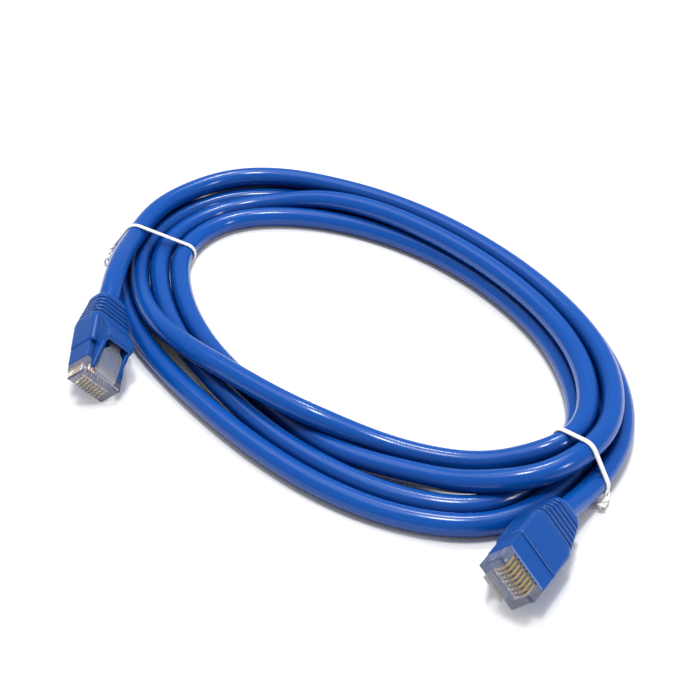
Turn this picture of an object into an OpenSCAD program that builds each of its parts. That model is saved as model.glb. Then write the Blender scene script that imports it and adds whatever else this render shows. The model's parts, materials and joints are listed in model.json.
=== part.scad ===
// Ethernet patch cable: 5.5 mm round cord wound into an oval coil of four and a half turns,
// held by two wire twist ties, with a clear eight-contact modular plug and a moulded
// snagless boot on each end. Millimetres, +Z up, coil lying on Z = 0.

/* [Cable] */
// Outside diameter of the jacket
cable_d = 5.5; // [5.2:0.1:5.8]
// Jacket wall thickness
jacket_wall = 0.5; // [0.4:0.05:0.6]
// Diameter of one insulated conductor
wire_d = 0.9; // [0.8:0.05:0.95]
// Diameter of the copper inside each conductor
core_d = 0.5; // [0.4:0.05:0.55]

/* [Coil] */
// Half length of the oval that the turns follow
coil_a = 74; // [72:1:76]
// Half width of the oval that the turns follow
coil_b = 44; // [42:1:46]
// Height of the bundle of turns where two layers are stacked
coil_h = 10.3; // [10:0.1:11]

/* [Plugs] */
// Width of the clear plug body
plug_w = 11.68; // [11.6:0.02:11.72]
// Length of the clear plug body
plug_l = 21.5; // [21.3:0.1:21.7]
// Height of the front of the plug body
plug_h = 6.6; // [6.5:0.05:6.65]
// Spacing of the eight contacts
contact_pitch = 1.02; // [1.0:0.01:1.03]
// Thickness of one contact blade
blade_t = 0.35; // [0.3:0.01:0.38]
// Angle at which the latch stands up at rest
latch_rise = 12; // [11:0.5:12]
// Outside width of the moulded boot
boot_w = 12.4; // [12.2:0.1:12.8]
// Distance from the nose to the front edge of the boot
boot_front = 9.5; // [9:0.1:10]
// Distance from the nose to the rear end of the boot
boot_rear = 28; // [28:0.5:29]

/* [Twist ties] */
// Width of the plastic strip of a tie
tie_w = 1.4; // [1.2:0.1:1.6]
// Thickness of the strip over its wire
tie_t = 0.8; // [0.7:0.05:0.9]
// Diameter of the steel wire in a tie
tie_wire_d = 0.45; // [0.4:0.05:0.5]

/* [Hidden] */

// centre of the oval, measured from the origin under the middle of the whole object
coil_c = [-7.2, 10.6, 0];
// place of each plug: nose point on the contact face, then yaw, pitch and roll
plug_a_o = [-21.7, -71.7, 4.5] + coil_c;
plug_a_r = [50, 10, 52];
plug_b_o = [95, -40.2, 12.4] + coil_c;
plug_b_r = [18, -6, -137];

axis_z = 3.6;            // height of the cable axis over the contact face
wire_z = 3.9;            // height of the row of conductors
hinge_y = 1.0;           // latch hinge, back from the nose
hinge_z = plug_h + 0.75; // latch hinge, over the contact face
knuckle_r = 0.6;
rear_step = 17.4;          // the plug body is narrower behind this
rear_w = 10.6;
hw = plug_w / 2;

// ---------- general functions ----------
function unit(v) = v / norm(v);
function sgn(x) = x < 0 ? -1 : 1;
function rot_y(p, a) = [p[0]*cos(a) + p[2]*sin(a), p[1], -p[0]*sin(a) + p[2]*cos(a)];
function rot_x(p, a) = [p[0], p[1]*cos(a) - p[2]*sin(a), p[1]*sin(a) + p[2]*cos(a)];
function rot_z(p, a) = [p[0]*cos(a) - p[1]*sin(a), p[0]*sin(a) + p[1]*cos(a), p[2]];
function placed(p, o, r) = rot_z(rot_x(rot_y(p, r[2]), r[1]), r[0]) + o;

// smooth curve through points, n steps in each span
function cr(a, b, c, d, t) = 0.5 * ((2*b) + (c - a)*t + (2*a - 5*b + 4*c - d)*t*t + (3*b - a - 3*c + d)*t*t*t);
function spline(p, n) = [for (i = [0:len(p) - 2]) for (k = [0:n - 1])
    cr(p[max(i - 1, 0)], p[i], p[i + 1], p[min(i + 2, len(p) - 1)], k / n), p[len(p) - 1]];

// closed mesh over a stack of rings that all have the same number of points
module skin(rings, closed = false) {
  m = len(rings[0]);
  n = len(rings);
  pts = [for (r = rings) for (p = r) p];
  sides = [for (i = [0:n - (closed ? 1 : 2)]) for (j = [0:m - 1])
      let (a = i*m + j, b = i*m + (j + 1) % m, c = ((i + 1) % n)*m + (j + 1) % m, d = ((i + 1) % n)*m + j)
      each [[a, c, b], [a, d, c]]];
  caps = closed ? [] : [[for (j = [0:m - 1]) j], [for (j = [m - 1:-1:0]) (n - 1)*m + j]];
  polyhedron(points = pts, faces = concat(sides, caps), convexity = 8);
}

// rings of a round tube along a path; the first side vector is carried along the path
function tang(p, i) = unit(p[min(i + 1, len(p) - 1)] - p[max(i - 1, 0)]);
function ring_at(c, t, r, n) =
  let (u = unit(cross([0, 0, 1], t) + [1e-6, 0, 0]), v = cross(t, u))
  [for (k = [0:n - 1]) c + r*(cos(360*k/n)*u + sin(360*k/n)*v)];
module tube(p, d, n) {
  skin([for (i = [0:len(p) - 1]) ring_at(p[i], tang(p, i), d/2, n)]);
}

// ---------- the coil ----------
// each row: angle round the oval, inner edge, outer edge, top, underside (at every 30 degrees)
coil_rows = [[-9, 9.6, 1, 1.3], [-9.4, 9.2, 1, 0.3], [-9.4, 9, 0.96, 0], [-10, 9.4, 0.9, 0],
  [-11, 10, 0.9, 0], [-11, 11, 0.94, 0], [-10, 10.6, 1, 0.3], [-9, 9.6, 1, 1.3],
  [-10.5, 11.5, 0.94, 0], [-12, 12.5, 0.85, 0], [-12, 12.5, 0.85, 0], [-11, 10.8, 0.95, 0]];
function oval_p(t) = [coil_a*cos(t), coil_b*sin(t), 0] + coil_c;
function oval_n(t) = unit([cos(t)/coil_a, sin(t)/coil_b, 0]);
function oval_t(t) = cross([0, 0, 1], oval_n(t));
function row_at(t) = let (k = floor(t/30), f = t/30 - k, n = len(coil_rows))
  cr(coil_rows[(k + n - 1) % n], coil_rows[k % n], coil_rows[(k + 1) % n], coil_rows[(k + 2) % n], f);
function lobe(c) = sgn(c)*pow(abs(c), 0.7);
function flat_lobe(c) = max(-1, min(1, lobe(c)/lobe(sin(80))));
// point of the bundle outline at angle q round the section, grown outwards by e
function bundle_p(t, q, e) = let (r0 = row_at(t), r = [r0[0], r0[1], r0[2], max(r0[3], 0)], top = r[2]*coil_h + r[3]*0.8,
    a = (r[1] - r[0])/2 + e, b = (top - r[3])/2 + e, mid = (r[1] + r[0])/2)
  oval_p(t) + oval_n(t)*(mid + a*lobe(cos(q))) + [0, 0, (top + r[3])/2 + b*flat_lobe(sin(q))];
module cable_coil() {
  color("royalblue")
    skin([for (i = [0:59]) [for (q = [0:20:340]) bundle_p(6*i, -q, 0)]], closed = true);
}

// ---------- the two free leads ----------
lead_a_pts = [placed([0, boot_rear, axis_z], plug_a_o, plug_a_r),
  [-46.2, -47.0, 12.1] + coil_c, [-52.5, -41.6, 11.9] + coil_c, [-59, -35.5, 11] + coil_c,
  [-65, -29, 9.6] + coil_c, [-69.5, -22, 8.6] + coil_c];
lead_b_pts = [placed([0, boot_rear, axis_z], plug_b_o, plug_b_r),
  [82.5, -9, 4.6] + coil_c, [81.2, -3, 4] + coil_c, [80.4, 4, 3.8] + coil_c];
module cable_lead_a() { color("royalblue") lead(lead_a_pts, plug_a_r); }
module cable_lead_b() { color("royalblue") lead(lead_b_pts, plug_b_r); }
// the first ring is square to the plug axis, so the lead meets the jacket end flat
module lead(p, r) {
  s = spline(p, 2);
  ax = rot_z(rot_x([0, 1, 0], r[1]), r[0]);
  skin([for (i = [0:len(s) - 1]) ring_at(s[i], i == 0 ? ax : tang(s, i), cable_d/2, 12)]);
}

// ---------- twist ties ----------
// a tie is one strip: down one twisted tail, once round the bundle and out along the other tail
tail_l = 9;
function tie_path(t, q0, lean) =
  let (n = oval_n(t), T = oval_t(t), e = tie_t/2 + 0.03,
       base = bundle_p(t, q0, e + 0.55),
       U = unit(n*cos(lean) + [0, 0, sin(lean)]), V = cross(T, U)*-1)
  concat(
    [for (i = [9:-1:0]) let (f = i/9, w = 560*f)
      [base + U*tail_l*f + 0.5*(V*cos(w) + T*sin(w)), T*cos(w) - V*sin(w)]],
    [for (q = [q0 + 14:12:q0 + 348]) [bundle_p(t, q, e), T]],
    [for (i = [0:9]) let (f = i/9, w = 560*f + 180)
      [base + U*tail_l*f + 0.5*(V*cos(w) + T*sin(w)), (T*cos(w) - V*sin(w))*-1]]);
function tie_rings(path, w, h, m) = [for (i = [0:len(path) - 1])
  let (c = path[i][0], a = unit(path[min(i + 1, len(path) - 1)][0] - path[max(i - 1, 0)][0]),
       u0 = path[i][1], u = unit(u0 - a*(u0*a)), v = cross(a, u))
  [for (k = [0:m - 1]) let (g = 360*k/m + 180/m) c + u*w/2*cos(g)/cos(180/m) + v*h/2*sin(g)/cos(180/m)]];
module tie_strip(t, q0, lean) {
  p = tie_path(t, q0, lean);
  n = len(p);
  long = concat([[p[0][0]*1.5 - p[1][0]*0.5, p[0][1]]], [for (i = [1:n - 2]) p[i]], [[p[n - 1][0]*1.5 - p[n - 2][0]*0.5, p[n - 1][1]]]);
  difference() {
    skin(tie_rings(p, tie_w, tie_t, 8));
    skin(tie_rings(long, tie_wire_d, tie_wire_d, 6));
  }
}
module tie_wire(t, q0, lean) { skin(tie_rings(tie_path(t, q0, lean), tie_wire_d, tie_wire_d, 6)); }
left_tie = [211, 10, 2];
right_tie = [2, -20, 4];
module twist_tie_left() { color("white") tie_strip(left_tie[0], left_tie[1], left_tie[2]); }
module tie_wire_left() { color("silver") tie_wire(left_tie[0], left_tie[1], left_tie[2]); }
module twist_tie_right() { color("white") tie_strip(right_tie[0], right_tie[1], right_tie[2]); }
module tie_wire_right() { color("silver") tie_wire(right_tie[0], right_tie[1], right_tie[2]); }

// ---------- plug pieces, in the plug's own frame: X across, Y back from the nose, Z towards the latch ----------
module side_profile(w, pts) { rotate([90, 0, 90]) translate([0, 0, -w/2]) linear_extrude(w) polygon(pts); }
module along(d, y0, y1, x, z, n = 40) { translate([x, y1, z]) rotate([90, 0, 0]) cylinder(h = y1 - y0, d = d, $fn = n); }
function pin_x(i) = (i - 3.5)*contact_pitch;

module housing() {
  color([0.86, 0.9, 0.93, 0.5])
  difference() {
    union() {
      side_profile(plug_w, [[0, 0.5], [0.5, 0], [rear_step, 0], [rear_step, 7.3], [15.6, 7.3], [14.9, plug_h], [0.5, plug_h], [0, plug_h - 0.5]]);
      side_profile(rear_w, [[rear_step - 1, 0.45], [plug_l, 0.45], [plug_l, 6.75], [rear_step - 1, 6.75]]);
      // pad that carries the latch
      side_profile(6.6, [[0.15, plug_h - 1], [0.15, hinge_z - 0.05], [hinge_y + 1.3, hinge_z - 0.05], [hinge_y + 1.6, plug_h - 1]]);
    }
    // trough for the latch knuckle, open above
    translate([-4, hinge_y, hinge_z]) rotate([0, 90, 0]) cylinder(h = 8, r = knuckle_r + 0.08, $fn = 48);
    side_profile(8, [[hinge_y - 0.3, hinge_z - 0.1], [hinge_y + 2, hinge_z - 0.75], [hinge_y + 2, hinge_z + 1], [hinge_y - 0.3, hinge_z + 1]]);
    // narrower nose
    for (s = [-1, 1]) translate([s*hw, 0, 0]) rotate([0, 0, 45]) cube([0.5, 0.5, 30], center = true);
    // slots for the contact blades
    for (i = [0:7]) translate([pin_x(i) - 0.24, -0.1, 0]) {
      translate([0, 0, -0.1]) cube([0.48, 6.7, 2.2]);
      translate([0, 0.8, 0]) cube([0.48, 5.8, 3.6]);
    }
    // channels for the conductors
    for (i = [0:7]) along(1.0, 1.3, 8.5, pin_x(i), wire_z, 24);
    // pocket of the load bar and the cable chamber behind it
    translate([-4.75, 8, 2.65]) cube([9.5, 5, 2.5]);
    translate([-4.75, 12.3, 0.8]) cube([9.5, plug_l - 12.2, 5.6]);
    // slot for the cable clamp tongue in the contact face
    translate([-3, 14.2, -0.1]) cube([6, 2.6, 0.35]);
  }
  // tongue that grips the jacket
  color([0.86, 0.9, 0.93, 0.5])
  side_profile(5.6, [[14.3, 0.6], [16.6, 0.6], [16.6, 1.15], [15.9, 1.15]]);
}

module latch() {
  color([0.9, 0.93, 0.95, 0.6])
  translate([0, hinge_y, hinge_z]) rotate([latch_rise, 0, 0]) {
    translate([-3, 0, 0]) rotate([0, 90, 0]) cylinder(h = 6, r = knuckle_r, $fn = 48);
    translate([0, 0, -0.1]) linear_extrude(0.6) polygon([[-3, 0], [3, 0], [3, 6.6], [1.65, 7.8], [1.65, 11.6], [-1.65, 11.6], [-1.65, 7.8], [-3, 6.6]]);
    // locking shoulders and the thumb rib
    for (s = [-1, 1]) translate([s*2.3 - 0.7, 5.4, -0.35]) cube([1.4, 1.2, 0.6]);
    translate([-0.5, 1.5, 0.4]) cube([1, 8, 0.3]);
    translate([-1.65, 10.9, 0.3]) cube([3.3, 0.7, 0.25]);
  }
}

module contacts() {
  color("gold")
  for (i = [0:7]) translate([pin_x(i), 0, 0]) side_profile(blade_t,
    [[0.85, 0.9], [1.3, 0.45], [5.9, 0.45], [6.35, 0.9], [6.35, 3.0], [5.3, 3.0], [4.85, 3.85], [4.4, 3.0],
     [3.2, 3.0], [2.75, 3.85], [2.3, 3.0], [0.85, 3.0]]);
}

module load_bar() {
  color([0.95, 0.95, 0.95])
  difference() {
    translate([-4.7, 8.1, 2.7]) cube([9.4, 4, 2.4]);
    for (i = [0:7]) along(0.98, 8, 12.3, pin_x(i), wire_z, 24);
  }
}

// conductor i runs straight under its blade, then gathers into the jacket
function gather(i) = let (s = i % 2 == 0 ? 1 : -1, a = s*(157.5 - 45*floor(i/2))) [1.25*cos(a), 0, 1.25*sin(a)];
function wire_pts(i, y0) = [[pin_x(i), y0, wire_z], [pin_x(i), 8, wire_z], [pin_x(i), 12.3, wire_z],
  [pin_x(i)*0.7 + gather(i)[0]*0.3, 14.2, wire_z + gather(i)[2]*0.95], [pin_x(i)*0.3 + gather(i)[0]*0.7, 15.8, (wire_z + axis_z)/2 + gather(i)[2]],
  [gather(i)[0], 17.4, axis_z + gather(i)[2]], [gather(i)[0], boot_rear - 0.1, axis_z + gather(i)[2]]];
function y_ring(c, r, n) = [for (k = [0:n - 1]) c + r*[cos(-360*k/n), 0, sin(-360*k/n)]];
module wire(i) {
  difference() {
    skin([for (p = wire_pts(i, 1.5)) y_ring(p, wire_d/2, 8)]);
    skin([for (p = wire_pts(i, 1.4)) y_ring(p + (p[1] > 19 ? [0, 0.1, 0] : [0, 0, 0]), core_d/2, 8)]);
  }
}
module wires_striped() { color("white") for (i = [0, 2, 4, 6]) wire(i); }
module wire_cores() { color("peru") for (i = [0:7]) skin([for (p = wire_pts(i, 1.5)) y_ring(p, core_d/2, 8)]); }

module jacket_end() {
  color("royalblue")
  difference() {
    along(cable_d, 16.9, boot_rear, 0, axis_z, 64);
    along(cable_d - 2*jacket_wall, 16.8, boot_rear + 0.1, 0, axis_z, 64);
  }
}

// outline of the boot across its length: y, width, lowest z, highest z, corner radius
function boot_ring(y, w, z0, z1, r) = [for (c = [[1, -1], [-1, -1], [-1, 1], [1, 1]]) for (k = [4:-1:0])
  let (g = (c[0] > 0 ? (c[1] > 0 ? 0 : 270) : (c[1] > 0 ? 90 : 180)) + 22.5*k)
  [c[0]*(w/2 - r) + r*cos(g), y, (z0 + z1)/2 + c[1]*((z1 - z0)/2 - r) + r*sin(g)]];
function rib(k) = let (y = 19.2 + 1.5*k, w = boot_w - 0.25 - 0.72*k, g = 0.45)
  [[y, w, -0.35 + 0.12*k, 7.8 - 0.12*k, 1.9], [y + 0.15, w - g*2, -0.35 + g + 0.12*k, 7.8 - g - 0.12*k, 1.8],
   [y + 0.6, w - g*2 - 0.2, -0.32 + g + 0.12*k, 7.75 - g - 0.12*k, 1.8], [y + 0.75, w - 0.35, -0.3 + 0.12*k, 7.7 - 0.12*k, 1.9]];
module boot() {
  rows = concat([[boot_front, boot_w - 0.5, -0.3, 7.5, 0.8], [boot_front + 0.4, boot_w - 0.1, -0.42, 7.8, 0.95],
    [12, boot_w, -0.45, 7.95, 1.0], [17.2, boot_w, -0.45, 7.95, 1.0], [18.6, boot_w - 0.1, -0.4, 7.9, 1.7]],
    rib(0), rib(1), rib(2), rib(3), rib(4), [[27.0, 8.7, 0.2, 7.2, 2.2], [27.6, 8.4, 0.3, 7.05, 2.4], [boot_rear, 7.6, 0.5, 6.75, 2.6]]);
  color("royalblue")
  difference() {
    union() {
      skin([for (r = rows) boot_ring(r[0], r[1], r[2], r[3], r[4])]);
      // hood over the latch with a side ear on each side of it
      side_profile(8.4, [[2, plug_h], [2, 7.1], [8.8, 10.0], [9.6, 11.4], [12.8, 11.2], [18.2, 7.6], [18.5, plug_h]]);
    }
    // seat of the plug body and way through for the cable
    side_profile(plug_w, [[0, -2], [0, plug_h], [14.9, plug_h], [15.6, 7.3], [rear_step, 7.3], [rear_step, 0], [boot_front - 3, 0], [boot_front - 3, -2]]);
    side_profile(rear_w, [[rear_step - 1, 0.45], [plug_l, 0.45], [plug_l, 6.75], [rear_step - 1, 6.75]]);
    along(cable_d, 20, boot_rear + 1, 0, axis_z, 64);
    // space for the latch under the hood
    side_profile(6.7, [[1, 6], [1, 30], [8.8, 30], [8.8, 10.7], [12.6, 10.5], [14.7, 9.0], [14.7, 6]]);
  }
}

module at_plug(o, r) { translate(o) rotate([0, 0, r[0]]) rotate([r[1], 0, 0]) rotate([0, r[2], 0]) children(); }
module at_a() { at_plug(plug_a_o, plug_a_r) children(); }
module at_b() { at_plug(plug_b_o, plug_b_r) children(); }

module plug_a_housing() { at_a() housing(); }
module plug_a_latch() { at_a() latch(); }
module plug_a_contacts() { at_a() contacts(); }
module plug_a_load_bar() { at_a() load_bar(); }
module plug_a_boot() { at_a() boot(); }
module plug_a_jacket_end() { at_a() jacket_end(); }
module plug_a_wires_striped() { at_a() wires_striped(); }
module plug_a_wire_orange() { color("darkorange") at_a() wire(1); }
module plug_a_wire_green() { color("green") at_a() wire(5); }
module plug_a_wire_blue() { color("mediumblue") at_a() wire(3); }
module plug_a_wire_brown() { color("saddlebrown") at_a() wire(7); }
module plug_a_wire_cores() { at_a() wire_cores(); }
module plug_b_housing() { at_b() housing(); }
module plug_b_latch() { at_b() latch(); }
module plug_b_contacts() { at_b() contacts(); }
module plug_b_load_bar() { at_b() load_bar(); }
module plug_b_boot() { at_b() boot(); }
module plug_b_jacket_end() { at_b() jacket_end(); }
module plug_b_wires_striped() { at_b() wires_striped(); }
module plug_b_wire_orange() { color("darkorange") at_b() wire(1); }
module plug_b_wire_green() { color("green") at_b() wire(5); }
module plug_b_wire_blue() { color("mediumblue") at_b() wire(3); }
module plug_b_wire_brown() { color("saddlebrown") at_b() wire(7); }
module plug_b_wire_cores() { at_b() wire_cores(); }

cable_coil();
cable_lead_a();
cable_lead_b();
twist_tie_left();
tie_wire_left();
twist_tie_right();
tie_wire_right();
plug_a_housing();
plug_a_latch();
plug_a_contacts();
plug_a_load_bar();
plug_a_boot();
plug_a_jacket_end();
plug_a_wires_striped();
plug_a_wire_orange();
plug_a_wire_green();
plug_a_wire_blue();
plug_a_wire_brown();
plug_a_wire_cores();
plug_b_housing();
plug_b_latch();
plug_b_contacts();
plug_b_load_bar();
plug_b_boot();
plug_b_jacket_end();
plug_b_wires_striped();
plug_b_wire_orange();
plug_b_wire_green();
plug_b_wire_blue();
plug_b_wire_brown();
plug_b_wire_cores();
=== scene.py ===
import bpy
import json
import math
import numpy as np
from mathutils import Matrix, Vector


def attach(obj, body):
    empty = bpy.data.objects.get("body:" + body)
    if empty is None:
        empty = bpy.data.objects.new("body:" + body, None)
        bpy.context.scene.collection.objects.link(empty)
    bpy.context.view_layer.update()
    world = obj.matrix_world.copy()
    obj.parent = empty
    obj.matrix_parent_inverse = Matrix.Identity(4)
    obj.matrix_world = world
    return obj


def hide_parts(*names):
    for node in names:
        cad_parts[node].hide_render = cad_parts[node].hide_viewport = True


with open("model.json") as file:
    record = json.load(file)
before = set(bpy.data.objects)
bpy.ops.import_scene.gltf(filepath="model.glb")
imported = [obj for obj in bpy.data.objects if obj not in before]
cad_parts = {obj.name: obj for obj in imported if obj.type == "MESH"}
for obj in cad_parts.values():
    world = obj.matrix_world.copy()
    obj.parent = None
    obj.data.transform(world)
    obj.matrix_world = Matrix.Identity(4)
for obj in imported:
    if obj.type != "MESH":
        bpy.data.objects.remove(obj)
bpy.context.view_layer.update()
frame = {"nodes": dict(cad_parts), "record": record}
nodes = frame["nodes"]
scene = bpy.context.scene

# ------------------------------------------------------------------ camera
cam_data = bpy.data.cameras.new("camera")
cam = bpy.data.objects.new("camera", cam_data)
scene.collection.objects.link(cam)
cam.location = (0.2126, -0.1784, 0.2210)
aim = Vector((-0.00409, 0.00342, 0.0)) - cam.location
cam.rotation_euler = aim.to_track_quat("-Z", "Y").to_euler()
cam_data.sensor_width = 36.0
cam_data.lens = 70.97
cam_data.clip_start = 0.01
cam_data.clip_end = 20.0
scene.camera = cam
scene.view_settings.view_transform = "Standard"
scene.view_settings.look = "None"
if hasattr(scene, "cycles"):
    scene.cycles.transparent_max_bounces = 24

# ------------------------------------------------------------------ sizes, in mm
R = 2.75                      # cord radius
A, B = 74.0, 44.0             # oval through the middle of the bundle
COIL = np.array([-7.2, 10.6, 0.0])
PLUG = {
    "a": (np.array([-21.7, -71.7, 4.5]) + COIL, (50.0, 10.0, 52.0)),
    "b": (np.array([95.0, -40.2, 12.4]) + COIL, (18.0, -6.0, -137.0)),
}
AXIS_Z = 3.6                  # height of the cord's axis in the plug's own frame
LEFT_TIE, RIGHT_TIE = 211.0, 2.0


def rot(axis, deg):
    c, s = math.cos(math.radians(deg)), math.sin(math.radians(deg))
    if axis == "x":
        return np.array([[1, 0, 0], [0, c, -s], [0, s, c]])
    if axis == "y":
        return np.array([[c, 0, s], [0, 1, 0], [-s, 0, c]])
    return np.array([[c, -s, 0], [s, c, 0], [0, 0, 1]])


def plug_axes(k):
    r = PLUG[k][1]
    return rot("z", r[0]) @ rot("x", r[1]) @ rot("y", r[2])


def on_plug(k, p):
    return plug_axes(k) @ np.array(p, float) + PLUG[k][0]


def normal(t):
    v = np.array([math.cos(t) / A, math.sin(t) / B])
    return v / np.linalg.norm(v)


def at(t, d, z):
    """A point beside the oval: t degrees round it, d mm outside it, z mm up."""
    t = math.radians(t)
    n = normal(t)
    return np.array([A * math.cos(t) + d * n[0], B * math.sin(t) + d * n[1], z]) + COIL


# ------------------------------------------------------------------ route of the cord
# Each row is t (degrees, falling along the cord), d (mm outside the oval), z (mm up).
PASSES = [
    # far side, on top, from lead A
    [[195, 4.4, 7.6], [180, 3.6, 7.5], [165, 4.4, 7.5], [150, 3.8, 7.4], [135, 2.0, 7.4], [120, 1.2, 7.4],
     [105, 0.4, 7.5], [90, 0.0, 7.5], [75, 0.3, 7.5], [60, 1.0, 7.5], [45, 1.7, 7.5], [30, 1.8, 7.5], [15, 2.2, 7.9]],
    # near side: over the right tie, down, and inside all the way to the left tie
    [[2, 2.6, 8.6], [348, 3.6, 7.8], [337, 2.6, 6.0], [328, 0.6, 4.0], [315, -2.0, 2.8], [305, -2.0, 2.8],
     [297, -1.9, 2.8], [289, -3.4, 2.8], [280, -4.8, 2.8], [270, -5.4, 2.8], [255, -5.8, 2.8], [240, -6.4, 2.8],
     [225, -7.0, 2.9]],
    # far side, innermost and low
    [[211, -7.2, 3.3], [195, -8.9, 2.8], [180, -9.6, 2.8], [165, -9.9, 2.8], [150, -9.5, 2.8], [135, -8.4, 2.8],
     [120, -7.2, 2.8], [105, -6.2, 2.8], [90, -5.7, 2.8], [75, -5.6, 2.8], [60, -5.5, 2.8], [45, -5.9, 2.8],
     [30, -5.9, 2.8], [15, -5.8, 3.2]],
    # near side: comes out from under the others
    [[2, -5.5, 3.5], [350, -2.6, 3.2], [340, 1.0, 2.8], [330, 4.2, 2.8], [315, 4.6, 2.8], [300, 3.4, 2.8],
     [285, 2.0, 2.8], [270, 0.2, 2.8], [255, -0.6, 2.8], [240, -1.2, 2.8], [225, -1.6, 2.9]],
    # far side: low at first, then climbs on top
    [[211, -1.7, 3.3], [195, -3.6, 2.8], [180, -4.7, 2.8], [165, -5.0, 3.0], [150, -4.8, 4.0], [135, -4.4, 6.6],
     [120, -4.4, 7.5], [105, -4.6, 7.5], [90, -4.8, 7.5], [75, -4.7, 7.5], [60, -4.3, 7.5], [45, -4.0, 7.5],
     [30, -3.9, 7.5], [15, -3.4, 7.9]],
    # near side: inside at the right, then crosses over to the middle
    [[2, -2.9, 8.4], [350, -5.0, 7.0], [340, -7.4, 4.2], [330, -8.5, 2.8], [315, -8.6, 2.8], [305, -8.2, 3.2],
     [297, -6.2, 5.2], [289, -3.4, 7.8], [280, -2.4, 8.3], [270, -1.4, 8.2], [255, 1.6, 7.2], [240, 3.4, 4.6],
     [225, 3.8, 3.0]],
    # far side, low, in the middle
    [[211, 3.8, 3.3], [195, 1.8, 2.8], [180, 0.8, 2.8], [165, 0.6, 2.8], [150, 0.4, 2.8], [135, -0.6, 2.8],
     [120, -0.9, 2.8], [105, -0.6, 2.8], [90, -0.2, 2.8], [75, -0.1, 2.8], [60, 0.0, 2.8], [45, -0.4, 2.8],
     [30, -0.4, 2.8], [15, -0.3, 3.2]],
    # near side, outermost
    [[2, 0.0, 3.5], [350, 3.2, 3.1], [340, 7.6, 2.8], [330, 10.4, 2.8], [315, 10.8, 2.8], [300, 9.5, 2.8],
     [285, 7.8, 2.8], [270, 6.8, 2.8], [255, 7.2, 2.8], [240, 8.4, 2.8], [225, 9.2, 2.9]],
    # far side, outermost and low, to lead B
    [[211, 9.3, 3.3], [195, 7.2, 2.8], [180, 6.2, 2.8], [165, 6.2, 2.8], [150, 7.2, 2.8], [135, 7.8, 2.8],
     [120, 7.0, 2.8], [105, 5.6, 2.8], [90, 5.1, 2.8], [75, 5.1, 2.8], [60, 5.1, 2.8], [45, 4.9, 2.8],
     [30, 4.6, 2.8], [15, 4.9, 3.2]],
]
LEAD_A = [[-46.2, -47.0, 12.1], [-52.5, -41.6, 11.9], [-59.0, -35.5, 10.6], [-65.0, -29.0, 8.4]]
LEAD_B = [[80.0, 3.0, 3.6], [81.4, -3.0, 4.0], [82.5, -9.0, 4.6]]

knots = [on_plug("a", (0, 25.0, AXIS_Z)), on_plug("a", (0, 28.5, AXIS_Z))]
knots += [np.array(p) + COIL for p in LEAD_A]
for rows in PASSES:
    knots += [at(*r) for r in rows]
knots += [np.array(p) + COIL for p in LEAD_B]
knots += [on_plug("b", (0, 28.5, AXIS_Z)), on_plug("b", (0, 25.0, AXIS_Z))]
knots = np.array(knots)


def centripetal(P, n=24):
    """A smooth curve through the points, n steps between each two."""
    P = np.vstack([2 * P[0] - P[1], P, 2 * P[-1] - P[-2]])
    out = []
    for i in range(1, len(P) - 2):
        p0, p1, p2, p3 = P[i - 1], P[i], P[i + 1], P[i + 2]
        t0 = 0.0
        t1 = t0 + math.sqrt(np.linalg.norm(p1 - p0))
        t2 = t1 + math.sqrt(np.linalg.norm(p2 - p1))
        t3 = t2 + math.sqrt(np.linalg.norm(p3 - p2))
        for t in np.linspace(t1, t2, n, endpoint=False):
            a1 = (t1 - t) / (t1 - t0) * p0 + (t - t0) / (t1 - t0) * p1
            a2 = (t2 - t) / (t2 - t1) * p1 + (t - t1) / (t2 - t1) * p2
            a3 = (t3 - t) / (t3 - t2) * p2 + (t - t2) / (t3 - t2) * p3
            b1 = (t2 - t) / (t2 - t0) * a1 + (t - t0) / (t2 - t0) * a2
            b2 = (t3 - t) / (t3 - t1) * a2 + (t - t1) / (t3 - t1) * a3
            out.append((t2 - t) / (t2 - t1) * b1 + (t - t1) / (t2 - t1) * b2)
    out.append(P[-2])
    return np.array(out)


def resample(P, step):
    s = np.r_[0, np.cumsum(np.linalg.norm(np.diff(P, axis=0), axis=1))]
    n = int(round(s[-1] / step)) + 1
    u = np.linspace(0, s[-1], n)
    return np.stack([np.interp(u, s, P[:, k]) for k in range(3)], 1)


def settle(P, rounds, gap=2 * R + 0.02):
    """Pushes strands apart where they would overlap, and off the table, keeping the route."""
    P0 = P.copy()
    X = P.copy()
    n = len(X)
    idx = np.arange(n)
    far = np.triu(np.abs(idx[:, None] - idx[None, :]) > 9)
    hold = np.clip(np.minimum(idx, n - 1 - idx) / 10.0 - 0.4, 0, 1)[:, None]
    for k in range(rounds):
        G = X @ X.T
        q = np.diag(G)
        D2 = q[:, None] + q[None, :] - 2 * G
        i, j = np.nonzero((D2 < gap * gap) & far)
        if len(i):
            v = X[i] - X[j]
            d = np.linalg.norm(v, axis=1)[:, None] + 1e-9
            push = v / d * (gap - d)
            cnt = np.zeros(n)
            mov = np.zeros_like(X)
            np.add.at(mov, i, push * 0.5)
            np.add.at(mov, j, -push * 0.5)
            np.add.at(cnt, i, 1.0)
            np.add.at(cnt, j, 1.0)
            X += mov / np.maximum(cnt, 1.0)[:, None] * 1.25
        low = X[:, 2] < R + 0.02
        X[low, 2] = R + 0.02
        if k < rounds - 12:
            U = X - P0
            for _ in range(8):
                U[1:-1] = 0.25 * U[:-2] + 0.5 * U[1:-1] + 0.25 * U[2:]
            X = P0 + U * 0.998 * hold
        else:
            X = P0 + (X - P0) * hold
    return X


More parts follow.
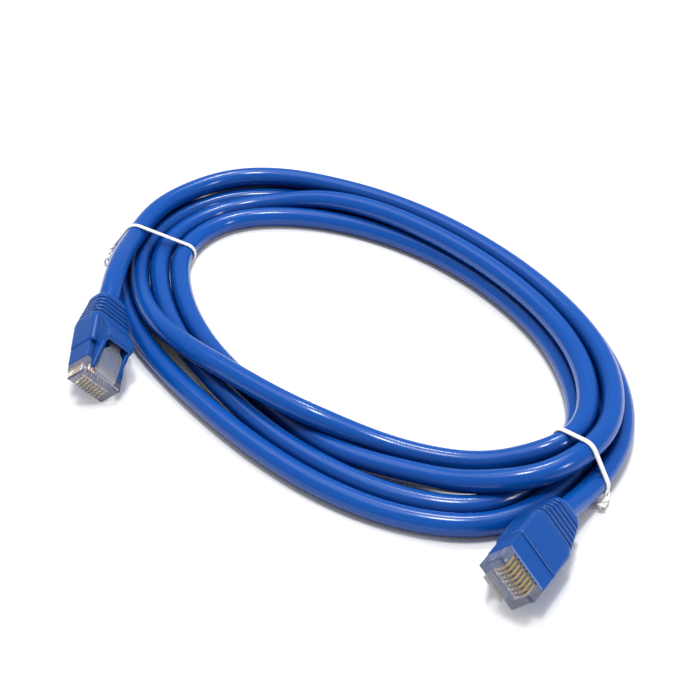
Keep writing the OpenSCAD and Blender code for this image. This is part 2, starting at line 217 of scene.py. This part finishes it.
route = resample(centripetal(knots), 2.0)
for _ in range(2):
    route[1:-1] = 0.25 * route[:-2] + 0.5 * route[1:-1] + 0.25 * route[2:]
route = settle(route, 260)
for _ in range(9):
    route[1:-1] = 0.25 * route[:-2] + 0.5 * route[1:-1] + 0.25 * route[2:]
turn = np.diff(route, axis=0)
turn /= np.linalg.norm(turn, axis=1)[:, None]
bend = np.linalg.norm(route[2:] - route[:-2], axis=1) / 2 / (np.arccos(np.clip((turn[1:] * turn[:-1]).sum(axis=1), -1, 1)) + 1e-9)
worst = int(bend.argmin())
print("tightest bend mm", round(float(bend[worst]), 1), "at point", worst, "of", len(route), [round(float(v), 1) for v in route[worst]],
      "bends under 22 mm at", [int(v) for v in np.nonzero(bend < 22)[0]])
gap2 = ((route[:, None, :] - route[None, :, :]) ** 2).sum(axis=2)
apart = np.abs(np.arange(len(route))[:, None] - np.arange(len(route))[None, :]) > 9
print("closest strands mm", round(float(np.sqrt(gap2[apart].min())), 2))


# ------------------------------------------------------------------ materials
def srgb(r, g, b):
    f = lambda c: (c / 255 / 12.92) if c <= 10 else ((c / 255 + 0.055) / 1.055) ** 2.4
    return (f(r), f(g), f(b), 1.0)


def material(name, colour, rough, metallic=0.0, clear=0.0, ior=1.5, bevel=0.0, grain=0.0, grain_scale=900.0,
             coat=0.0, subsurface=0.0, specular=0.5, shade=0.0, painted_shade_colour=(0, 0, 0, 1)):
    m = bpy.data.materials.new(name)
    m.use_nodes = True
    nt = m.node_tree
    p = nt.nodes["Principled BSDF"]
    p.inputs["Base Color"].default_value = colour
    p.inputs["Roughness"].default_value = rough
    p.inputs["Metallic"].default_value = metallic
    p.inputs["IOR"].default_value = ior
    p.inputs["Transmission Weight"].default_value = clear
    p.inputs["Coat Weight"].default_value = coat
    p.inputs["Coat Roughness"].default_value = 0.08
    p.inputs["Specular IOR Level"].default_value = specular
    if subsurface:
        p.inputs["Subsurface Weight"].default_value = subsurface
        p.inputs["Subsurface Radius"].default_value = (0.001, 0.001, 0.001)
    if shade:
        # painted shade: where ambient occlusion finds a crease (between strands, in rib grooves) the base colour is
        # mixed toward a darker blue
        ao = nt.nodes.new("ShaderNodeAmbientOcclusion")
        ao.samples = 6
        ao.inputs["Distance"].default_value = shade
        painted_shade_mix = nt.nodes.new("ShaderNodeMix")
        painted_shade_mix.data_type = "RGBA"
        painted_shade_mix.inputs[6].default_value = painted_shade_colour
        painted_shade_mix.inputs[7].default_value = colour
        nt.links.new(ao.outputs["AO"], painted_shade_mix.inputs[0])
        nt.links.new(painted_shade_mix.outputs[2], p.inputs["Base Color"])
    last = None
    if bevel:
        b = nt.nodes.new("ShaderNodeBevel")
        b.samples = 4
        b.inputs["Radius"].default_value = bevel
        last = b.outputs["Normal"]
    if grain:
        tc = nt.nodes.new("ShaderNodeTexCoord")
        no = nt.nodes.new("ShaderNodeTexNoise")
        no.inputs["Scale"].default_value = grain_scale
        no.inputs["Detail"].default_value = 2.0
        bu = nt.nodes.new("ShaderNodeBump")
        bu.inputs["Strength"].default_value = grain
        bu.inputs["Distance"].default_value = 0.00005
        nt.links.new(tc.outputs["Object"], no.inputs["Vector"])
        nt.links.new(no.outputs["Fac"], bu.inputs["Height"])
        if last:
            nt.links.new(last, bu.inputs["Normal"])
        last = bu.outputs["Normal"]
    if last:
        nt.links.new(last, p.inputs["Normal"])
    return m


def see_through(name, tint, milk, edge, rough):
    """Clear moulded plastic: light goes straight on, with a little haze, whiter edges and a clear reflection."""
    m = bpy.data.materials.new(name)
    m.use_nodes = True
    nt = m.node_tree
    for n in list(nt.nodes):
        nt.nodes.remove(n)
    out = nt.nodes.new("ShaderNodeOutputMaterial")
    tr = nt.nodes.new("ShaderNodeBsdfTransparent")
    tr.inputs["Color"].default_value = tint
    di = nt.nodes.new("ShaderNodeBsdfDiffuse")
    di.inputs["Color"].default_value = (0.93, 0.95, 0.97, 1.0)
    tl = nt.nodes.new("ShaderNodeBsdfTranslucent")
    tl.inputs["Color"].default_value = (0.93, 0.95, 0.97, 1.0)
    both = nt.nodes.new("ShaderNodeMixShader")
    both.inputs[0].default_value = 0.08
    nt.links.new(di.outputs[0], both.inputs[1])
    nt.links.new(tl.outputs[0], both.inputs[2])
    lw = nt.nodes.new("ShaderNodeLayerWeight")
    lw.inputs["Blend"].default_value = 0.3
    mr = nt.nodes.new("ShaderNodeMapRange")
    mr.inputs["To Min"].default_value = milk
    mr.inputs["To Max"].default_value = edge
    nt.links.new(lw.outputs["Facing"], mr.inputs["Value"])
    body = nt.nodes.new("ShaderNodeMixShader")
    nt.links.new(mr.outputs["Result"], body.inputs[0])
    nt.links.new(tr.outputs[0], body.inputs[1])
    nt.links.new(both.outputs[0], body.inputs[2])
    gl = nt.nodes.new("ShaderNodeBsdfGlossy")
    gl.inputs["Roughness"].default_value = rough
    fr = nt.nodes.new("ShaderNodeFresnel")
    fr.inputs["IOR"].default_value = 1.5
    top = nt.nodes.new("ShaderNodeMixShader")
    nt.links.new(fr.outputs[0], top.inputs[0])
    glass = nt.nodes.new("ShaderNodeBsdfGlass")
    glass.inputs["IOR"].default_value = 1.45
    glass.inputs["Roughness"].default_value = 0.03
    half = nt.nodes.new("ShaderNodeMixShader")
    half.inputs[0].default_value = 0.55
    nt.links.new(body.outputs[0], half.inputs[1])
    nt.links.new(glass.outputs[0], half.inputs[2])
    nt.links.new(half.outputs[0], top.inputs[1])
    nt.links.new(gl.outputs[0], top.inputs[2])
    # light still reaches what is inside
    lp = nt.nodes.new("ShaderNodeLightPath")
    amount = nt.nodes.new("ShaderNodeMath")
    amount.operation = "MULTIPLY"
    amount.inputs[1].default_value = 0.88
    nt.links.new(lp.outputs["Is Shadow Ray"], amount.inputs[0])
    through = nt.nodes.new("ShaderNodeMixShader")
    nt.links.new(amount.outputs[0], through.inputs[0])
    nt.links.new(top.outputs[0], through.inputs[1])
    nt.links.new(tr.outputs[0], through.inputs[2])
    nt.links.new(through.outputs[0], out.inputs["Surface"])
    return m


MATS = {
    # cable jacket and boots carry painted shade: a darker blue mixed into the base colour in creases found by ambient
    # occlusion
    "cable_jacket": material("cable_jacket", srgb(5, 78, 165), 0.17, grain=0.06, grain_scale=500.0, specular=0.36, shade=0.006, painted_shade_colour=srgb(2, 30, 96)),
    "boot_blue": material("boot_blue", srgb(5, 74, 154), 0.28, grain=0.10, grain_scale=1500.0, specular=0.35, shade=0.0016, painted_shade_colour=srgb(2, 24, 74)),
    "clear_plastic": see_through("clear_plastic", (0.99, 0.99, 1.0, 1.0), 0.12, 0.60, 0.05),
    "gold_plate": material("gold_plate", srgb(246, 206, 122), 0.38, metallic=0.85),
    "load_bar_plastic": see_through("load_bar_plastic", (0.96, 0.98, 0.99, 1.0), 0.25, 0.70, 0.12),
    "tie_white": material("tie_white", srgb(240, 240, 238), 0.45, grain=0.2, grain_scale=1200.0),
    "tie_steel": material("tie_steel", srgb(190, 190, 188), 0.35, metallic=1.0),
    "wire_orange": material("wire_orange", srgb(232, 118, 32), 0.4),
    "wire_green": material("wire_green", srgb(44, 140, 62), 0.4),
    "wire_blue": material("wire_blue", srgb(38, 84, 176), 0.4),
    "wire_brown": material("wire_brown", srgb(112, 66, 38), 0.4),
    "copper": material("copper", srgb(214, 132, 88), 0.3, metallic=1.0),
}


def striped(k):
    """White insulation with a colour stripe that is told from its place across the plug."""
    m = bpy.data.materials.new("wire_striped_" + k)
    m.use_nodes = True
    nt = m.node_tree
    p = nt.nodes["Principled BSDF"]
    p.inputs["Roughness"].default_value = 0.4
    tc = nt.nodes.new("ShaderNodeTexCoord")
    ax = plug_axes(k)
    o = PLUG[k][0] / 1000.0

    def along(axis):
        sub = nt.nodes.new("ShaderNodeVectorMath")
        sub.operation = "SUBTRACT"
        sub.inputs[1].default_value = tuple(o)
        dot = nt.nodes.new("ShaderNodeVectorMath")
        dot.operation = "DOT_PRODUCT"
        dot.inputs[1].default_value = tuple(axis)
        nt.links.new(tc.outputs["Object"], sub.inputs[0])
        nt.links.new(sub.outputs["Vector"], dot.inputs[0])
        return dot.outputs["Value"]

    mr = nt.nodes.new("ShaderNodeMapRange")
    mr.inputs["From Min"].default_value = -0.00408
    mr.inputs["From Max"].default_value = 0.00408
    nt.links.new(along(ax[:, 0]), mr.inputs["Value"])
    ramp = nt.nodes.new("ShaderNodeValToRGB")
    ramp.color_ramp.interpolation = "CONSTANT"
    e = ramp.color_ramp.elements
    e[0].position, e[0].color = 0.0, srgb(232, 118, 32)
    e[1].position, e[1].color = 0.19, srgb(44, 140, 62)
    for pos, col in ((0.44, srgb(38, 84, 176)), (0.69, srgb(112, 66, 38))):
        x = e.new(pos)
        x.color = col
    nt.links.new(mr.outputs["Result"], ramp.inputs["Fac"])
    mul = nt.nodes.new("ShaderNodeMath")
    mul.operation = "MULTIPLY"
    mul.inputs[1].default_value = 1900.0
    nt.links.new(along(ax[:, 1]), mul.inputs[0])
    sn = nt.nodes.new("ShaderNodeMath")
    sn.operation = "SINE"
    nt.links.new(mul.outputs["Value"], sn.inputs[0])
    gt = nt.nodes.new("ShaderNodeMath")
    gt.operation = "GREATER_THAN"
    gt.inputs[1].default_value = 0.35
    nt.links.new(sn.outputs["Value"], gt.inputs[0])
    mix = nt.nodes.new("ShaderNodeMix")
    mix.data_type = "RGBA"
    mix.inputs[6].default_value = srgb(238, 236, 230)
    nt.links.new(gt.outputs["Value"], mix.inputs[0])
    nt.links.new(ramp.outputs["Color"], mix.inputs[7])
    nt.links.new(mix.outputs[2], p.inputs["Base Color"])
    return m


STRIPED = {k: striped(k) for k in "ab"}


def paint(obj, mat):
    if not obj.material_slots:
        obj.data.materials.append(mat)
    for s in obj.material_slots:
        s.link = "OBJECT"
        s.material = mat


for sp in frame["record"]["subparts"]:
    name, sl = sp["node"], sp["material_slot"]
    if sl == "wire_striped":
        paint(nodes[name], STRIPED[name[5]])
    else:
        paint(nodes[name], MATS[sl])


def new_mesh(name, verts, faces, mat, body, smooth=True):
    me = bpy.data.meshes.new(name)
    me.from_pydata([tuple(v) for v in verts], [], faces)
    me.validate()
    me.update()
    ob = bpy.data.objects.new(name, me)
    scene.collection.objects.link(ob)
    me.materials.append(mat)
    for p in me.polygons:
        p.use_smooth = smooth
    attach(ob, body)
    return ob


# ------------------------------------------------------------------ the cord
curve = bpy.data.curves.new("cord", "CURVE")
curve.dimensions = "3D"
curve.bevel_depth = R / 1000.0
curve.bevel_resolution = 6
curve.use_fill_caps = True
sp = curve.splines.new("POLY")
sp.points.add(len(route) - 1)
for p, co in zip(sp.points, route):
    p.co = (co[0] / 1000, co[1] / 1000, co[2] / 1000, 1.0)
sp.use_smooth = True
cord = bpy.data.objects.new("cord", curve)
scene.collection.objects.link(cord)
curve.materials.append(MATS["cable_jacket"])
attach(cord, "cable")
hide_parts("cable_coil", "cable_lead_a", "cable_lead_b")


# ------------------------------------------------------------------ boots: soft moulded PVC with rounded edges
def soft_copy(node, name, mat, voxel, passes, grow):
    """The same shape as the CAD node with its edges rounded off as a soft moulding has them."""
    src = nodes[node]
    me = src.data.copy()
    me.name = name
    for v in me.vertices:
        v.co = src.matrix_world @ v.co * 1000.0
    ob = bpy.data.objects.new(name, me)
    scene.collection.objects.link(ob)
    rm = ob.modifiers.new("r", "REMESH")
    rm.mode = "VOXEL"
    rm.voxel_size = voxel
    rm.adaptivity = 0.0
    sm = ob.modifiers.new("s", "SMOOTH")
    sm.factor = 0.5
    sm.iterations = passes
    dg = bpy.context.evaluated_depsgraph_get()
    done = bpy.data.meshes.new_from_object(ob.evaluated_get(dg))
    ob.modifiers.clear()
    done.update()
    push = [v.normal.copy() for v in done.vertices]
    for v, n in zip(done.vertices, push):
        v.co = (v.co + n * grow) / 1000.0
    for p in done.polygons:
        p.use_smooth = True
    done.materials.clear()
    done.materials.append(mat)
    ob.data = done
    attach(ob, "cable")
    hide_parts(node)
    return ob


boots = {k: soft_copy("plug_%s_boot" % k, "boot_" + k, MATS["boot_blue"], 0.15, 3, 0.11) for k in "ab"}


# ------------------------------------------------------------------ front skin of the boot over the clear plug
def overmould(k):
    """Thin skin of the boot's plastic that runs forward round the clear plug body to behind the contacts."""
    secs = [(4.2, 5.5, 0.25, 6.2), (4.35, 5.8, 0.0, 6.55), (4.7, 5.99, -0.15, 6.74), (10.0, 5.99, -0.15, 6.74), (16.8, 5.99, -0.15, 6.74), (17.2, 5.7, 0.1, 6.5)]
    V, F, m = [], [], 24
    for y, hw, z0, z1 in secs:
        r = 0.25
        for cx, cz, a0 in ((hw - r, z1 - r, 0), (-hw + r, z1 - r, 90), (-hw + r, z0 + r, 180), (hw - r, z0 + r, 270)):
            for q in range(6):
                a = math.radians(a0 + 18 * q)
                V.append(on_plug(k, (cx + r * math.cos(a), y, cz + r * math.sin(a))) / 1000.0)
    for i in range(len(secs) - 1):
        for j in range(m):
            a, b = i * m + j, i * m + (j + 1) % m
            F.append((a, a + m, b + m, b))
    F.append(tuple(range(m)))
    F.append(tuple((len(secs) - 1) * m + j for j in range(m - 1, -1, -1)))
    return new_mesh("overmould_" + k, V, F, MATS["boot_blue"], "cable", smooth=False)


overs = {k: overmould(k) for k in "ab"}

# ------------------------------------------------------------------ twist ties
def sweep(path, across, half_w, half_t, closed, bulge=0.16):
    """Strip of a flat section with the wire's ridge down the middle, swept along the path."""
    path = np.array(path)
    n = len(path)
    if closed:
        tan = np.roll(path, -1, 0) - np.roll(path, 1, 0)
    else:
        tan = np.gradient(path, axis=0)
    tan /= np.linalg.norm(tan, axis=1)[:, None]
    ac = np.array(across, float)
    ac = ac - (ac * tan).sum(1)[:, None] * tan
    ac /= np.linalg.norm(ac, axis=1)[:, None]
    out = np.cross(ac, tan)
    prof = []
    for k in range(16):
        a = 2 * math.pi * k / 16
        u = half_w * math.copysign(abs(math.cos(a)) ** 0.6, math.cos(a))
        w = half_t * math.copysign(abs(math.sin(a)) ** 0.6, math.sin(a))
        w += math.copysign(bulge, math.sin(a)) * math.exp(-(u / 0.28) ** 2) if abs(math.sin(a)) > 0.3 else 0.0
        prof.append((u, w))
    V = []
    for i in range(n):
        for u, w in prof:
            V.append((path[i] + ac[i] * u + out[i] * w) / 1000.0)
    m = len(prof)
    F = []
    for i in range(n if closed else n - 1):
        for j in range(m):
            a, b = i * m + j, i * m + (j + 1) % m
            c, d = ((i + 1) % n) * m + (j + 1) % m, ((i + 1) % n) * m + j
            F.append((a, b, c, d))
    if not closed:
        F.append(tuple(range(m - 1, -1, -1)))
        F.append(tuple((n - 1) * m + j for j in range(m)))
    return V, F


def rod(path, r, sides=8):
    path = np.array(path)
    tan = np.gradient(path, axis=0)
    tan /= np.linalg.norm(tan, axis=1)[:, None]
    ref = np.array([0.3, 0.2, 0.93])
    V, F = [], []
    for i in range(len(path)):
        u = np.cross(tan[i], ref)
        u /= np.linalg.norm(u)
        w = np.cross(tan[i], u)
        for k in range(sides):
            a = 2 * math.pi * k / sides
            V.append((path[i] + (u * math.cos(a) + w * math.sin(a)) * r) / 1000.0)
    for i in range(len(path) - 1):
        for j in range(sides):
            a, b = i * sides + j, i * sides + (j + 1) % sides
            F.append((a, b, b + sides, a + sides))
    F.append(tuple(range(sides - 1, -1, -1)))
    F.append(tuple((len(path) - 1) * sides + j for j in range(sides)))
    return V, F


def tie(side, t0, skew, start, lean, tail_len):
    tr = math.radians(t0)
    n2 = normal(tr)
    out = np.array([n2[0], n2[1], 0.0])
    tan = np.array([-n2[1], n2[0], 0.0])
    up = np.array([0.0, 0.0, 1.0])
    mid = at(t0, 0, 0)
    rel = route - mid
    d = rel @ out
    s = rel @ tan - skew * d
    near = np.abs(d) < 24
    hits = []
    for i in range(len(route) - 1):
        if near[i] and near[i + 1] and s[i] * s[i + 1] <= 0 and s[i] != s[i + 1]:
            f = s[i] / (s[i] - s[i + 1])
            q = route[i] * (1 - f) + route[i + 1] * f
            hits.append(((q - mid) @ out, q[2]))
    hits = np.array(hits)
    print("tie", side, "strands", [(round(float(a), 1), round(float(b), 1)) for a, b in hits])
    half_t = 0.26
    loop = []
    for k in range(144):
        a = 2 * math.pi * k / 144
        nn = np.array([math.cos(a), math.sin(a)])
        c = hits[(hits @ nn).argmax()]
        loop.append(c + nn * (R + half_t + 0.04))
    loop = np.array(loop)
    # even spacing round the loop
    cl = np.vstack([loop, loop[:1]])
    ss = np.r_[0, np.cumsum(np.linalg.norm(np.diff(cl, axis=0), axis=1))]
    u = np.linspace(0, ss[-1], 121)[:-1]
    loop = np.stack([np.interp(u, ss, cl[:, k]) for k in range(2)], 1)
    loop[:, 1] = np.maximum(loop[:, 1], half_t + 0.02)
    P3 = np.array([mid + out * q[0] + up * q[1] + tan * skew * q[0] for q in loop])
    across = np.tile(tan, (len(P3), 1))
    V, F = sweep(P3, across, 0.62, half_t, True, 0.10)
    # the twisted tail
    k0 = int(((loop - np.array(hits.mean(0))) @ np.array([math.cos(math.radians(start)), math.sin(math.radians(start))])).argmax())
    root = P3[k0]
    away = out * math.cos(math.radians(start)) + up * math.sin(math.radians(start))
    axis = out * lean[0] + tan * lean[1] + up * lean[2]
    axis /= np.linalg.norm(axis)
    m = 46
    wires = []
    for h in (0, 1):
        pts, acr = [], []
        for i in range(m):
            f = i / (m - 1)
            bend = min(1.0, f * 3.0)
            c = root + away * 0.55 * bend + axis * tail_len * f + away * 0.9 * math.sin(f * 2.6) * 0.5
            ph = 2 * math.pi * f * tail_len / 4.2 + math.pi * h
            e1 = np.cross(axis, away)
            e1 /= np.linalg.norm(e1)
            e2 = np.cross(axis, e1)
            rad = 0.42 + (max(0.0, f - 0.78) * 5.0) * (1.0 if h else 0.7)
            pts.append(c + (e1 * math.cos(ph) + e2 * math.sin(ph)) * rad)
            acr.append(e1 * -math.sin(ph) + e2 * math.cos(ph))
        pts = np.array(pts)
        pts[:, 2] = np.maximum(pts[:, 2], 0.75)
        v2, f2 = sweep(pts, acr, 0.5, 0.2, False, 0.08)
        b = len(V)
        V = list(V) + list(v2)
        F = list(F) + [tuple(b + q for q in f) for f in f2]
        end, di = pts[-1], pts[-1] - pts[-2]
        di /= np.linalg.norm(di)
        wv, wf = rod([end - di * 1.0, end, end + di * 0.9], 0.2)
        wb = len(wires[0]) if wires else 0
        if not wires:
            wires = [list(wv), list(wf)]
        else:
            wires = [wires[0] + list(wv), wires[1] + [tuple(wb + q for q in f) for f in wf]]
    strip = new_mesh("tie_" + side, V, F, MATS["tie_white"], "cable")
    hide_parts("twist_tie_" + side)
    core = new_mesh("tie_core_" + side, wires[0], wires[1], MATS["tie_steel"], "cable")
    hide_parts("tie_wire_" + side)
    return strip, core


tie_l = tie("left", LEFT_TIE, 0.0, 35.0, (-0.05, 0.95, -0.12), 8.5)
tie_r = tie("right", RIGHT_TIE, 0.0, -18.0, (0.15, -0.85, -0.3), 4.5)

# ------------------------------------------------------------------ studio
bpy.ops.mesh.primitive_plane_add(size=6.0, location=(0, 0, 0))
floor = bpy.context.object
floor.name = "floor"
fm = bpy.data.materials.new("floor")
fm.use_nodes = True
fm.node_tree.nodes["Principled BSDF"].inputs["Base Color"].default_value = (0.93, 0.93, 0.93, 1)
fm.node_tree.nodes["Principled BSDF"].inputs["Roughness"].default_value = 0.9
fm.node_tree.nodes["Principled BSDF"].inputs["Specular IOR Level"].default_value = 0.1
floor.data.materials.append(fm)

world = bpy.data.worlds.new("world")
scene.world = world
world.use_nodes = True
world.node_tree.nodes["Background"].inputs["Color"].default_value = (1.0, 1.0, 1.0, 1.0)
world.node_tree.nodes["Background"].inputs["Strength"].default_value = 0.42
wt = bpy.context.scene.world.node_tree
sky = next(n for n in wt.nodes if n.type == "BACKGROUND")
path = wt.nodes.new("ShaderNodeLightPath")
lift = wt.nodes.new("ShaderNodeMath")
lift.operation = "MULTIPLY_ADD"
lift.inputs[1].default_value = 1.3
lift.inputs[2].default_value = sky.inputs["Strength"].default_value
wt.links.new(path.outputs["Is Transmission Ray"], lift.inputs[0])
wt.links.new(lift.outputs[0], sky.inputs["Strength"])


def area(name, loc, target, w, h, power):
    li = bpy.data.lights.new(name, "AREA")
    li.shape = "RECTANGLE"
    li.size, li.size_y = w, h
    li.energy = power
    ob = bpy.data.objects.new(name, li)
    scene.collection.objects.link(ob)
    ob.location = loc
    ob.rotation_euler = (Vector(target) - Vector(loc)).to_track_quat("-Z", "Y").to_euler()
    return ob


area("key", (-0.25, 0.10, 0.95), (0, 0, 0), 0.9, 0.9, 4.4)
area("spot", (0.02, -0.02, 0.90), (0, 0, 0), 0.13, 0.13, 3.6)
area("spot_far", (-0.30, 0.34, 0.80), (0, 0, 0), 0.12, 0.12, 1.8)
area("side", (0.75, 0.25, 0.50), (0.03, 0, 0), 0.10, 0.22, 1.6)
